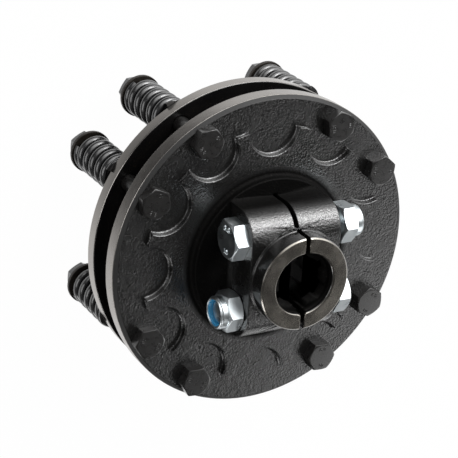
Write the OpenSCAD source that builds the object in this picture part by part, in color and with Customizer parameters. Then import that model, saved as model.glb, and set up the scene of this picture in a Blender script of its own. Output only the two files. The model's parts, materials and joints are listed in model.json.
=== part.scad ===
// Friction torque limiter: a flanged clamp hub and a pressure plate squeeze a drive hub
// between two linings, under eight coil springs on long bolts.
// It stands on the bolt ends, with the clamp hub on top and the shaft axis along +Z.
// +X is along the clamp bolts, +Y is along the slits of the clamp hub.

/* [Plates] */
// Outer diameter of the flange
plate_d = 196; // [180:1:220]
// Thickness of the flange
flange_t = 11.6; // [9:0.2:16]
// Distance from the rim of the flange back to the rim of the pressure plate
rim_step = 1.2; // [0:0.1:2]
// Thickness of the pressure plate
pressure_t = 8.5; // [6:0.5:14]
// Chamfer on the front rim of the flange
front_chamfer = 2.2; // [0.5:0.1:3]
// Chamfer on the other rims of both plates
rim_chamfer = 0.5; // [0.3:0.1:2]
// Diameter of the hole in the pressure plate
pressure_hole_d = 64; // [60:1:84]

/* [Scalloped pad] */
// Height of the raised pad on the flange
pad_h = 3.4; // [2.2:0.1:5]
// Distance from the rim of the flange to the tips of the pad
pad_inset = 18.2; // [17:0.2:22]
// Width of the tips between the scallops
pad_tip_w = 7.8; // [5:0.2:12]
// Radius of the fillet at the foot of the scallops
pad_foot_r = 1.1; // [0.5:0.1:1.2]
// Radius of the rounded edge on top of the scallops
pad_edge_r = 0.8; // [0.4:0.1:1]

/* [Spring bolts] */
// Distance from the rims of the plates to the spring bolts
bolt_inset = 10.6; // [10:0.2:14]
// Thread diameter of the spring bolts
bolt_d = 10; // [8:1:12]
// Width across flats of the bolt heads and nuts
bolt_af = 17; // [13:1:18]
// Height of the bolt heads
bolt_head_h = 6.4; // [5:0.1:8]
// Height of the spring nuts
spring_nut_h = 10; // [6:0.5:12]
// Length of bolt that stands out of a nut
bolt_tip = 3; // [1.5:0.5:8]
// Outer diameter of the spring washers
washer_d = 26; // [20:1:28]
// Thickness of the spring washers
washer_t = 2.5; // [1.5:0.5:4]

/* [Springs] */
// Outer diameter of the springs
spring_d = 24.5; // [23:0.5:28]
// Diameter of the spring wire
wire_d = 5; // [3:0.25:5.5]
// Length of the springs as fitted
spring_l = 44; // [40:0.5:60]
// Turns of wire in a spring, with its closed ends
spring_turns = 6; // [5:0.5:7]

/* [Clutch pack] */
// Gap between the spring bolts and the linings
lining_gap = 2; // [0.5:0.1:8]
// Diameter of the hole in the linings
lining_hole_d = 90; // [76:1:110]
// Thickness of a lining
lining_t = 4.4; // [3:0.2:6]
// Thickness of the drive flange
drive_flange_t = 10; // [8:0.2:14]
// Outer diameter of the drive hub
drive_hub_d = 54; // [50:1:58]
// Length of the drive hub behind its flange
drive_hub_l = 58; // [40:1:66]
// Diameter of the hole in the pilot bush
bush_bore_d = 48; // [44:0.5:50]
// Wall of the pilot bush
bush_wall = 4; // [2:0.5:5]
// Length of the pilot bush
bush_l = 10; // [6:1:14]

/* [Clamp hub] */
// Width of the clamp block between the bolt seats
block_w = 59; // [58:1:66]
// Height of the clamp block above the flange
block_h = 36.6; // [36.4:0.2:46]
// Radius of the rounded ends of the clamp block
block_round = 17.5; // [14:0.5:17.5]
// Outer diameter of the nose
nose_d = 57.8; // [50:0.2:57.8]
// Height of the nose above the clamp block
nose_h = 12; // [8:0.2:20]
// Diameter of the round root of the hub
root_d = 100; // [98:1:108]
// Height of the root above the flange
root_h = 8; // [6:0.2:8.2]
// Width of the two slits
slit_w = 3; // [2:0.5:5]

/* [Splined bores] */
// Diameter across the bottoms of the spline grooves
spline_major_d = 34.95; // [34:0.05:36]
// Diameter across the tips of the clamp hub's spline teeth
spline_minor_d = 29.8; // [28:0.05:31]
// Diameter across the tips of the drive hub's spline teeth, for a sliding shaft
sliding_minor_d = 30.4; // [29:0.05:31.5]
// Width of a spline groove
spline_w = 8.7; // [7:0.1:10]
// Diameter of the plain mouth of the nose
mouth_d = 37; // [36.5:0.1:40]
// Depth of the plain mouth of the nose
mouth_h = 5; // [3:0.5:10]
// Chamfer at the mouths of the bores
mouth_chamfer = 1.4; // [0.5:0.1:2]

/* [Clamp bolts] */
// Thread diameter of the clamp bolts
clamp_d = 14; // [12:1:14]
// Distance from the shaft axis to each clamp bolt
clamp_offset = 22.5; // [22:0.1:25]
// Distance from the front of the clamp block back to the clamp bolts
clamp_drop = 15.2; // [13:0.2:15.2]
// Gap that each clamp bolt leaves at the block's +X side, as it isn't drawn tight
clamp_slack = 5.2; // [0:0.2:8]
// Width across flats of the clamp bolt heads and nuts
clamp_af = 22; // [19:1:22]
// Height of the clamp bolt heads
clamp_head_h = 8.8; // [7:0.2:10]
// Height of the lock nuts
lock_nut_h = 14; // [12:0.5:16]
// Depth of a clamp bolt's end inside its lock nut
clamp_end_depth = 2.5; // [1:0.5:5]

/* [Clearances] */
// Radial clearance of the bolts in their holes
hole_clear = 0.5; // [0.2:0.1:1]
// Radial clearance of a thread in its nut and of the bush in its seat
seat_clear = 0.05; // [0.02:0.01:0.1]
// Radial clearance of the drive hub in the pilot bush
pilot_clear = 0.05; // [0.02:0.01:0.1]
// Clearance between a lining and the plate it slips on
slip_clear = 0.05; // [0.02:0.01:0.2]

/* [Hidden] */

$fn = 96;
// A cut runs this far past the face that it opens.
cut = 1;

// Twelve even places round the plates: every third one, in line with the slits or the
// clamp bolts, has an empty scallop, and the other eight have a bolt and a spring.
place_count = 12;
place_step = 360 / place_count;
bolt_angles = [for (i = [0 : place_count - 1]) if (i % 3 != 0) i * place_step];

// How far each spring bolt's head ended up turned from its radius
head_turns = [48, 34, 4, 6, 32, 0, 58, 0];

// Sizes across the plates, from the bush outwards
bush_d = bush_bore_d + 2 * bush_wall;
bolt_circle_r = plate_d / 2 - bolt_inset;
lining_d = 2 * (bolt_circle_r - bolt_d / 2 - lining_gap);
pad_r = plate_d / 2 - pad_inset;
scallop_circle_r = pad_r - 0.5;
scallop_r = scallop_circle_r * sin(place_step / 2) - pad_tip_w / 2;
// The pad's walls lean back by this angle, as a casting leaves its mould.
pad_lean = 10;

// Levels up the shaft axis, from the bolt ends
washer_z = bolt_tip + spring_nut_h;
spring_z = washer_z + washer_t;
pressure_z = spring_z + spring_l;
rear_lining_z = pressure_z + pressure_t + slip_clear;
drive_flange_z = rear_lining_z + lining_t;
front_lining_z = drive_flange_z + drive_flange_t;
flange_z = front_lining_z + lining_t + slip_clear;
face_z = flange_z + flange_t;
block_z = face_z + block_h;
nose_z = block_z + nose_h;
clamp_z = block_z - clamp_drop;

// The block's rounded ends are level with the clamp bolts along the slits.
block_reach = clamp_offset + block_round;
// The slits stop short of the flange, inside the root.
slit_z = face_z + root_h - 3;
// The root rises like a shallow cone from its edge to the block.
root_edge = 1;
root_fillet = min(2.5, 0.8 * (root_h - root_edge - pad_h));
root_rise = 0.5;
nose_shoulder = 1.2;
nose_chamfer = 1;
hub_chamfer = 1.5;
bolt_end_chamfer = 1;

// A head's flat top is this share of its width across flats, and its corners are
// turned off at this angle.
hex_top_share = 0.95;
hex_chamfer_angle = 30;

// Spring ends are closed and ground flat: the wire's tip starts this far above the
// ground face, and the end turns rise by a little more than the wire.
tip_rise = 0.1 * wire_d;
end_pitch = 1.06 * wire_d;
rings_per_turn = 14;
wire_sides = 8;

// Lock nut proportions: the hexagon, the round collar above it and the ring inside
lock_hex_h = 0.68 * lock_nut_h;
lock_collar_r = 0.45 * clamp_af;
lock_lip_t = 0.7;
lock_ring_r = clamp_d / 2 + 1.7;
lock_lip_r = clamp_d / 2 + 0.9;

// Points of an arc about [x, y], from one angle to another
function arc(x, y, r, from, to, steps = 6) =
    [for (i = [0 : steps]) let (a = from + (to - from) * i / steps) [x + r * cos(a), y + r * sin(a)]];

// Height of the wire's centre after s turns, from the lower ground face
function wire_z(s) =
    let (active_pitch = (spring_l - 2 * (tip_rise + end_pitch)) / (spring_turns - 2))
    s < 1 ? tip_rise + end_pitch * s
    : s > spring_turns - 1 ? spring_l - tip_rise - end_pitch * (spring_turns - s)
    : tip_rise + end_pitch + active_pitch * (s - 1);

// One point on the wire, cut off flat at both ground faces
function wire_point(s, phi) =
    let (r = (spring_d - wire_d) / 2 + wire_d / 2 * cos(phi))
    let (z = wire_z(s) + wire_d / 2 * sin(phi))
    [r * cos(360 * s), r * sin(360 * s), max(0, min(spring_l, z))];

// Puts a copy at each of the eight spring bolts, turned to face the axis
module at_bolts() {
    for (a = bolt_angles)
        rotate([0, 0, a]) translate([bolt_circle_r, 0, 0]) children();
}

// Threaded shank standing on z = 0, with a chamfered end below
module shank(d, h) {
    c = bolt_end_chamfer;
    cylinder(h = c, d1 = d - 2 * c, d2 = d);
    translate([0, 0, c]) cylinder(h = h - c, d = d);
}

// Hexagon standing on z = 0, with its corners turned off at the top and, where asked, below
module hexagon(af, h, both = false) {
    top_r = hex_top_share * af / 2;
    drop = (af * 0.6 - top_r) * tan(hex_chamfer_angle);
    low_r = both ? top_r : af * 0.6;
    low_z = both ? drop : 0;
    intersection() {
        cylinder(h = h, d = af / cos(30), $fn = 6);
        rotate_extrude()
            polygon([[0, 0], [low_r, 0], [af * 0.6, low_z], [af * 0.6, h - drop], [top_r, h], [0, h]]);
    }
}

// Round plate with chamfered rims
module plate(z, t, r, top_chamfer) {
    c = rim_chamfer;
    rotate_extrude()
        polygon([
            [0, z], [r - c, z], [r, z + c],
            [r, z + t - top_chamfer], [r - top_chamfer, z + t], [0, z + t]]);
}

// Room for a splined shaft: six grooves, two of them in line with the slits
module splined_bore(z, h, minor_d) {
    translate([0, 0, z]) cylinder(h = h, d = minor_d);
    for (a = [0 : 60 : 300])
        rotate([0, 0, a + 90]) translate([0, 0, z]) intersection() {
            translate([0, -spline_w / 2, 0]) cube([spline_major_d, spline_w, h]);
            cylinder(h = h, d = spline_major_d);
        }
}

// What one scallop takes out of the pad: a leaning wall between a fillet and a rounded edge
module scallop_cut() {
    foot_z = pad_foot_r * (1 - sin(pad_lean));
    edge_z = pad_h - pad_edge_r * (1 - sin(pad_lean));
    half_lean = (edge_z - foot_z) * tan(pad_lean) / 2;
    foot_x = scallop_r - half_lean - pad_foot_r * cos(pad_lean);
    edge_x = scallop_r + half_lean + pad_edge_r * cos(pad_lean);
    rotate_extrude()
        polygon(concat(
            [[0, 0]],
            arc(foot_x, pad_foot_r, pad_foot_r, -90, -pad_lean, 3),
            arc(edge_x, pad_h - pad_edge_r, pad_edge_r, 180 - pad_lean, 90, 3),
            [[edge_x, pad_h + cut], [0, pad_h + cut]]));
}

// Raised pad with a scallop at each of the twelve places
module scalloped_pad() {
    translate([0, 0, face_z]) difference() {
        translate([0, 0, -cut]) cylinder(h = pad_h + cut, r = pad_r);
        for (i = [0 : place_count - 1])
            rotate([0, 0, i * place_step]) translate([scallop_circle_r, 0, 0]) scallop_cut();
    }
}

// Round root of the hub: a fillet off the pad, a steep side and a shallow cone on top
module hub_root() {
    r = root_d / 2;
    top = face_z + root_h;
    foot = face_z + pad_h;
    rotate_extrude()
        polygon(concat(
            [[0, face_z], [r + root_fillet, face_z]],
            arc(r + root_fillet, foot + root_fillet, root_fillet, -90, -180, 3),
            arc(r - root_edge, top - root_edge, root_edge, 0, 90, 3),
            [[block_w / 2, top + root_rise], [0, top + root_rise]]));
}

// Clamp block: a slab with two rounded ends, lying across the shaft axis
module clamp_block() {
    depth = block_z - face_z;
    rotate([90, 0, 90]) translate([0, face_z, -block_w / 2]) linear_extrude(block_w)
        polygon(concat(
            [[-block_reach, 0], [block_reach, 0]],
            arc(clamp_offset, depth - block_round, block_round, 0, 90, 12),
            arc(-clamp_offset, depth - block_round, block_round, 90, 180, 12)));
}

// Turned nose with a low shoulder at its root and a chamfered front edge
module nose() {
    r = nose_d / 2;
    rotate_extrude()
        polygon([
            [0, face_z], [r, face_z], [r, block_z - cut], [r + nose_shoulder / 2, block_z - cut],
            [r + nose_shoulder / 2, block_z + nose_shoulder], [r, block_z + nose_shoulder],
            [r, nose_z - nose_chamfer], [r - nose_chamfer, nose_z], [0, nose_z]]);
}

module flange_hub() {
    bore_z = flange_z + bush_l;
    mouth_z = nose_z - mouth_h;
    color("#1b1b1c") difference() {
        union() {
            plate(flange_z, flange_t, plate_d / 2, front_chamfer);
            scalloped_pad();
            hub_root();
            clamp_block();
            nose();
        }
        splined_bore(bore_z - cut, mouth_z - bore_z + 2 * cut, spline_minor_d);
        translate([0, 0, mouth_z]) cylinder(h = mouth_h + cut, d = mouth_d);
        translate([0, 0, nose_z - mouth_chamfer])
            cylinder(h = 2 * mouth_chamfer, d1 = mouth_d, d2 = mouth_d + 4 * mouth_chamfer);
        translate([0, 0, flange_z - cut]) cylinder(h = bush_l + cut, d = bush_d + 2 * seat_clear);
        translate([-slit_w / 2, -block_reach - cut, slit_z])
            cube([slit_w, 2 * (block_reach + cut), nose_z - slit_z + cut]);
        for (side = [-1, 1])
            translate([-block_w / 2 - cut, side * clamp_offset, clamp_z]) rotate([0, 90, 0])
                cylinder(h = block_w + 2 * cut, d = clamp_d + 2 * hole_clear);
        at_bolts() translate([0, 0, flange_z - cut])
            cylinder(h = flange_t + 2 * cut, d = bolt_d + 2 * hole_clear);
    }
}

module pressure_plate() {
    color("#1b1b1c") difference() {
        plate(pressure_z, pressure_t, plate_d / 2 - rim_step, rim_chamfer);
        translate([0, 0, pressure_z - cut]) cylinder(h = pressure_t + 2 * cut, d = pressure_hole_d);
        at_bolts() translate([0, 0, pressure_z - cut])
            cylinder(h = pressure_t + 2 * cut, d = bolt_d + 2 * hole_clear);
    }
}

// Eight bolts, with their heads on the flange and their ends below the nuts
module spring_bolts() {
    color("#222223") {
        at_bolts() shank(bolt_d, face_z + cut);
        for (i = [0 : len(bolt_angles) - 1])
            rotate([0, 0, bolt_angles[i]]) translate([bolt_circle_r, 0, face_z])
                rotate([0, 0, head_turns[i]]) hexagon(bolt_af, bolt_head_h);
    }
}

module spring_nuts() {
    color("#222223") at_bolts() translate([0, 0, bolt_tip]) difference() {
        hexagon(bolt_af, spring_nut_h, both = true);
        translate([0, 0, -cut]) cylinder(h = spring_nut_h + 2 * cut, d = bolt_d + 2 * seat_clear);
    }
}

module spring_washers() {
    color("#3a3632") at_bolts() translate([0, 0, washer_z]) difference() {
        cylinder(h = washer_t, d = washer_d);
        translate([0, 0, -cut]) cylinder(h = washer_t + 2 * cut, d = bolt_d + 2 * hole_clear);
    }
}

// Closed and ground compression spring, wound as one swept wire
module coil_spring(number) {
    ring_count = round(spring_turns * rings_per_turn);
    points = [for (i = [0 : ring_count], j = [0 : wire_sides - 1])
        wire_point(spring_turns * i / ring_count, 360 * (j + 0.5) / wire_sides)];
    skin = [for (i = [0 : ring_count - 1], j = [0 : wire_sides - 1])
        let (a = i * wire_sides + j)
        let (b = i * wire_sides + (j + 1) % wire_sides)
        each [[a, b, b + wire_sides], [a, b + wire_sides, a + wire_sides]]];
    // Each end face is a fan from a corner that its ground side doesn't touch.
    top = floor(wire_sides / 4);
    low = ring_count * wire_sides + floor(wire_sides * 3 / 4);
    first_end = [for (j = [1 : wire_sides - 2])
        [top, (top + j + 1) % wire_sides, (top + j) % wire_sides]];
    last_end = [for (j = [1 : wire_sides - 2])
        [low, ring_count * wire_sides + (low + j) % wire_sides,
            ring_count * wire_sides + (low + j + 1) % wire_sides]];
    color("#262628") rotate([0, 0, bolt_angles[number - 1]])
        translate([bolt_circle_r, 0, spring_z])
            polyhedron(points, concat(skin, first_end, last_end));
}

// Lays a piece along the upper clamp bolt, or the lower one with turn = 180, with a corner
// of its hexagon towards the flange
module at_clamp(turn, x) {
    rotate([0, 0, turn]) translate([x, clamp_offset, clamp_z]) rotate([0, 90, 0]) children();
}

module clamp_bolt(turn, gap = 0) {
    shank_l = block_w + clamp_slack + lock_nut_h - clamp_end_depth;
    color("#b9bcc0") at_clamp(turn, -block_w / 2 - gap) {
        translate([0, 0, shank_l]) mirror([0, 0, 1]) shank(clamp_d, shank_l + cut);
        mirror([0, 0, 1]) hexagon(clamp_af, clamp_head_h);
    }
}

module lock_nut(turn, gap = 0) {
    r = lock_collar_r;
    color("#b9bcc0") at_clamp(turn, block_w / 2 + gap) difference() {
        union() {
            hexagon(clamp_af, lock_hex_h, both = true);
            rotate_extrude()
                polygon([
                    [0, lock_hex_h / 2], [r, lock_hex_h / 2], [r, lock_nut_h - 2 * lock_lip_t],
                    [r - lock_lip_t, lock_nut_h - lock_lip_t / 2],
                    [r - 2 * lock_lip_t, lock_nut_h], [0, lock_nut_h]]);
        }
        translate([0, 0, -cut]) cylinder(h = lock_hex_h + 2 * cut, d = clamp_d + 2 * seat_clear);
        translate([0, 0, lock_hex_h]) cylinder(h = lock_nut_h - lock_hex_h - lock_lip_t, r = lock_ring_r);
        translate([0, 0, lock_hex_h]) cylinder(h = lock_nut_h, r = lock_lip_r);
    }
}

module nut_ring(turn, gap = 0) {
    h = lock_nut_h - lock_hex_h - lock_lip_t;
    color("#2f6f9f") at_clamp(turn, block_w / 2 + gap + lock_hex_h) difference() {
        cylinder(h = h, r = lock_ring_r - seat_clear);
        translate([0, 0, -cut]) cylinder(h = h + 2 * cut, d = clamp_d + 2 * seat_clear);
    }
}

// Plain bush in the flange that carries the front end of the drive hub
module pilot_bush() {
    color("#8c6a3c") translate([0, 0, flange_z]) difference() {
        cylinder(h = bush_l, d = bush_d);
        translate([0, 0, -cut]) cylinder(h = bush_l + 2 * cut, d = bush_bore_d);
    }
}

// Drive hub: a flange between the linings, a pilot in front and a long hub behind
module drive_hub() {
    hub_r = drive_hub_d / 2;
    pilot_r = bush_bore_d / 2 - pilot_clear;
    low_z = drive_flange_z - drive_hub_l;
    top_z = flange_z + bush_l - slip_clear;
    flange_r = lining_d / 2;
    lead_in = spline_major_d / 2 + mouth_chamfer - sliding_minor_d / 2;
    c = hub_chamfer;
    color("#4a4b4d") difference() {
        rotate_extrude()
            polygon([
                [0, low_z], [hub_r - c, low_z], [hub_r, low_z + c],
                [hub_r, drive_flange_z - 2 * c], [hub_r + c, drive_flange_z],
                [flange_r, drive_flange_z], [flange_r, front_lining_z],
                [pilot_r + c, front_lining_z], [pilot_r, front_lining_z + c],
                [pilot_r, top_z - c], [pilot_r - c, top_z], [0, top_z]]);
        splined_bore(low_z - cut, top_z - low_z + 2 * cut, sliding_minor_d);
        translate([0, 0, low_z])
            cylinder(h = lead_in, d1 = sliding_minor_d + 2 * lead_in, d2 = sliding_minor_d);
    }
}

module lining(z) {
    color("#6b5a45") translate([0, 0, z]) difference() {
        cylinder(h = lining_t, d = lining_d);
        translate([0, 0, -cut]) cylinder(h = lining_t + 2 * cut, d = lining_hole_d);
    }
}

flange_hub();
pressure_plate();
spring_bolts();
spring_nuts();
spring_washers();
coil_spring(1);  // spring_1
coil_spring(2);  // spring_2
coil_spring(3);  // spring_3
coil_spring(4);  // spring_4
coil_spring(5);  // spring_5
coil_spring(6);  // spring_6
coil_spring(7);  // spring_7
coil_spring(8);  // spring_8
clamp_bolt(0);  // upper_clamp_bolt
clamp_bolt(180, clamp_slack);  // lower_clamp_bolt
lock_nut(0, clamp_slack);  // upper_lock_nut
lock_nut(180);  // lower_lock_nut
nut_ring(0, clamp_slack);  // upper_nut_ring
nut_ring(180);  // lower_nut_ring
pilot_bush();
drive_hub();
lining(front_lining_z);  // front_lining
lining(rear_lining_z);  // rear_lining
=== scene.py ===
"""Looks of a friction torque limiter: black enamelled plates, coil springs and a clamp hub."""

import json
import math

import bmesh
import bpy
from mathutils import Matrix, Quaternion, Vector

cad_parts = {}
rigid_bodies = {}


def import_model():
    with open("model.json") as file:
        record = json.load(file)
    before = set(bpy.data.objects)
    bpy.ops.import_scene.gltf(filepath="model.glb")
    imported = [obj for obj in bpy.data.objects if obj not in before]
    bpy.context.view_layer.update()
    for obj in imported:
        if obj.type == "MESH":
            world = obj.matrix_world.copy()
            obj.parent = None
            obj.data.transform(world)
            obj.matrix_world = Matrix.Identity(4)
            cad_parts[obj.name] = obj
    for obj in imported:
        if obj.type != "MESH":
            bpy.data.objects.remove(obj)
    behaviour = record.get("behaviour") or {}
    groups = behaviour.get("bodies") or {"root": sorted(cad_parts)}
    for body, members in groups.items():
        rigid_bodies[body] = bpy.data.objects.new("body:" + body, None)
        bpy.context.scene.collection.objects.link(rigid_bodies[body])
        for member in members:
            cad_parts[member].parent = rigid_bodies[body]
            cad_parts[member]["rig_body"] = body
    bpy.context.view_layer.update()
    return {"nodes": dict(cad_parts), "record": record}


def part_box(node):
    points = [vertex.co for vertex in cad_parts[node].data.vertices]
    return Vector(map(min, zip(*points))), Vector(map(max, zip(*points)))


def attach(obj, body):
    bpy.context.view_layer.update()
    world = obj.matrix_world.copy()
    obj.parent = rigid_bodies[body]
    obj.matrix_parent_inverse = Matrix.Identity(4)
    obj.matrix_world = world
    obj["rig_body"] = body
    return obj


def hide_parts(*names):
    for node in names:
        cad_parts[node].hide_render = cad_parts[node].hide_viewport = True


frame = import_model()

MM = 0.001
BODY = "clamp_side"

# Sizes read from the frame, in metres
flange_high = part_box("flange_hub")[1]
spring_low, spring_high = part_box("spring_1")
PLATE_R = flange_high.x
PRESSURE_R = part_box("pressure_plate")[1].x
NOSE_Z = flange_high.z
HEAD_TOP_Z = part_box("spring_bolts")[1].z
SPRING_LENGTH = spring_high.z - spring_low.z
SPRING_R = (spring_high.x - spring_low.x) / 2
SPRING_CENTRE = (spring_low + spring_high) / 2
BOLT_CIRCLE_R = SPRING_CENTRE.xy.length

# Spring bolts, in metres; the flat of a head's top is a share of its width across flats
BOLT_R = 5 * MM
HEAD_AF = 17 * MM
HEAD_H = 6.4 * MM
HEAD_EDGE = 0.6 * MM
HEAD_CORNER_LOSS = 0.1 * MM
HEX_TOP_SHARE = 0.95
SHANK_IN_HEAD = 0.5 * MM
THREAD_PITCH = 1.5 * MM
THREAD_DEPTH = 0.85 * MM
THREAD_LENGTH = 26 * MM
THREAD_CHAMFER = 1 * MM

# Raised strength marks: their height, how deep they sit in the head, half the width of a line
# and their distance from the middle of the head
MARK_H = 0.3 * MM
MARK_SUNK = 0.02 * MM
MARK_LINE = 0.2 * MM
SPRING_MARK_REACH = 5.6 * MM
CLAMP_MARK_REACH = 5 * MM
CLAMP_MARK_SCALE = 1.4

# Rolled lip of a lock nut; the bead sits in from the nut's end by a share of its own radius
LIP_R = 8.7 * MM
LIP_BEAD_R = 0.8 * MM
LIP_INSET_SHARE = 0.7

# Springs; the tip's height and the pitch of the closed turns are shares of the wire's radius
WIRE_R = 2.5 * MM
WIRE_SIDES = 18
SPRING_TURNS = 6
POINTS_PER_TURN = 56
TIP_SHARE = 0.2
CLOSED_SHARE = 2.12

# Places on the casting, from the flange's face up to the nose
FACE_Z = HEAD_TOP_Z - HEAD_H
CHAMFER_R = PLATE_R - 2.5 * MM
ROOT_R = 50 * MM
ROOT_TOP_Z = FACE_Z + 8 * MM
BLOCK_HALF_W = 29.5 * MM
NOSE_H = 12 * MM
BLOCK_Z = NOSE_Z - NOSE_H
NOSE_R = 28.9 * MM
MOUTH_R = 18.5 * MM

# Rounding of the casting's edges: those of the block and the pad, and those cut afterwards
BLOCK_EDGE = 0.9 * MM
PAD_EDGE = 0.5 * MM
NOSE_EDGE = 0.3 * MM
CUT_EDGE = 0.25 * MM
# Edges that turn by less than this belong to a round surface
SHARP_DEG = 28

# Twelve places round the plates, of which every third has no bolt
PLACE_STEP_DEG = 30
BOLT_PLACES_DEG = [place * PLACE_STEP_DEG for place in range(12) if place % 3]
# How far each head ended up turned from its radius, in degrees
HEAD_TURNS_DEG = [48, 34, 4, 6, 32, 0, 58, 0]

# Bare turned steel of the plates' rims, under a thin film of oil
RIM_STEEL = "#9c9894"

# The camera's place and aim in millimetres, its roll in degrees and its lens on its sensor
CAMERA_AT = Vector((-482.6, 409.6, 896.3))
CAMERA_AIM = Vector((-15.3, 10.9, 82.2))
CAMERA_ROLL = 127.83
CAMERA_LENS = 134.6
CAMERA_SENSOR = 36

# The room as light: a bright wall on one side, with a soft edge, and dim walls elsewhere
BRIGHT_SIDE = Vector((0.46, 0.84, 0.28))
WALL_FROM = 0.5
WALL_TO = 0.85
WALL_LIGHT = 3.6
DIM_LIGHT = 0.1

# The paper under the part: white to the eye, and dim in reflections on the side it is seen from
FLOOR_HALF = 4.0
FLOOR_WHITE_SHARE = 0.985
NEAR_SIDE = Vector((-0.76, 0.65, 0))
NEAR_FROM = 95 * MM
NEAR_TO = 160 * MM
NEAR_LIGHT = 0.06


def linear(colour):
    """Linear RGBA of an sRGB hex colour."""
    parts = [int(colour[i:i + 2], 16) / 255 for i in (1, 3, 5)]
    return [p / 12.92 if p <= 0.04045 else ((p + 0.055) / 1.055) ** 2.4 for p in parts] + [1.0]


def cells(size_mm):
    """Texture scale that gives a pattern of that size, in millimetres."""
    return 1 / (size_mm * MM)


def add(tree, kind, inputs=None, **settings):
    """Adds a node with its settings; an input is a value or another node's output socket."""
    made = tree.nodes.new(kind)
    for name, value in settings.items():
        setattr(made, name, value)
    for socket, value in (inputs or {}).items():
        if isinstance(value, bpy.types.NodeSocket):
            tree.links.new(value, made.inputs[socket])
        else:
            made.inputs[socket].default_value = value
    return made


def new_material(name, **sockets):
    """A material with one Principled shader, with these values on its own sockets."""
    material = bpy.data.materials.new(name)
    material.use_nodes = True
    tree = material.node_tree
    skin = tree.nodes["Principled BSDF"]
    for socket, value in sockets.items():
        skin.inputs[socket.replace("_", " ")].default_value = value
    where = add(tree, "ShaderNodeTexCoord").outputs["Object"]
    return material, tree, skin, where


def distance_from_axis(tree, where):
    """Distance of a point from the shaft's axis."""
    flat = add(tree, "ShaderNodeVectorMath", {0: where, 1: (1, 1, 0)}, operation="MULTIPLY")
    length = add(tree, "ShaderNodeVectorMath", {0: flat.outputs[0]}, operation="LENGTH")
    return length.outputs["Value"]


def bare_rim(tree, radius, rim_r):
    """Share of bare steel: all on a plate's turned rim, none inside it."""
    return add(tree, "ShaderNodeMapRange", {
        "Value": radius, "From Min": rim_r - 0.3 * MM, "From Max": rim_r - 0.15 * MM}).outputs[0]


def painted_shade_mask(tree, where, radius, height):
    """Share of painted shade on the casting: all in the root, on the block's ends and in the bore,
    where shade falls.
    """
    inside = add(tree, "ShaderNodeMapRange", {
        "Value": radius, "From Min": ROOT_R + 6 * MM, "From Max": ROOT_R + 2.5 * MM})
    low = add(tree, "ShaderNodeMapRange", {
        "Value": height, "From Min": ROOT_TOP_Z + 8 * MM, "From Max": ROOT_TOP_Z + 1 * MM})
    across = add(tree, "ShaderNodeSeparateXYZ", {0: where}).outputs["Y"]
    away = add(tree, "ShaderNodeMath", {0: across}, operation="ABSOLUTE").outputs[0]
    ends = add(tree, "ShaderNodeMapRange", {
        "Value": away, "From Min": ROOT_R - 13.5 * MM, "From Max": ROOT_R - 10 * MM})
    shaded = add(tree, "ShaderNodeMath", {
        0: low.outputs[0], 1: ends.outputs[0]}, operation="MAXIMUM")
    root = add(tree, "ShaderNodeMath", {
        0: inside.outputs[0], 1: shaded.outputs[0]}, operation="MULTIPLY")
    bore = add(tree, "ShaderNodeMapRange", {
        "Value": radius, "From Min": MOUTH_R + 0.4 * MM, "From Max": MOUTH_R + 0.1 * MM})
    return add(tree, "ShaderNodeMath", {
        0: root.outputs[0], 1: bore.outputs[0]}, operation="MAXIMUM").outputs[0]


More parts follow.
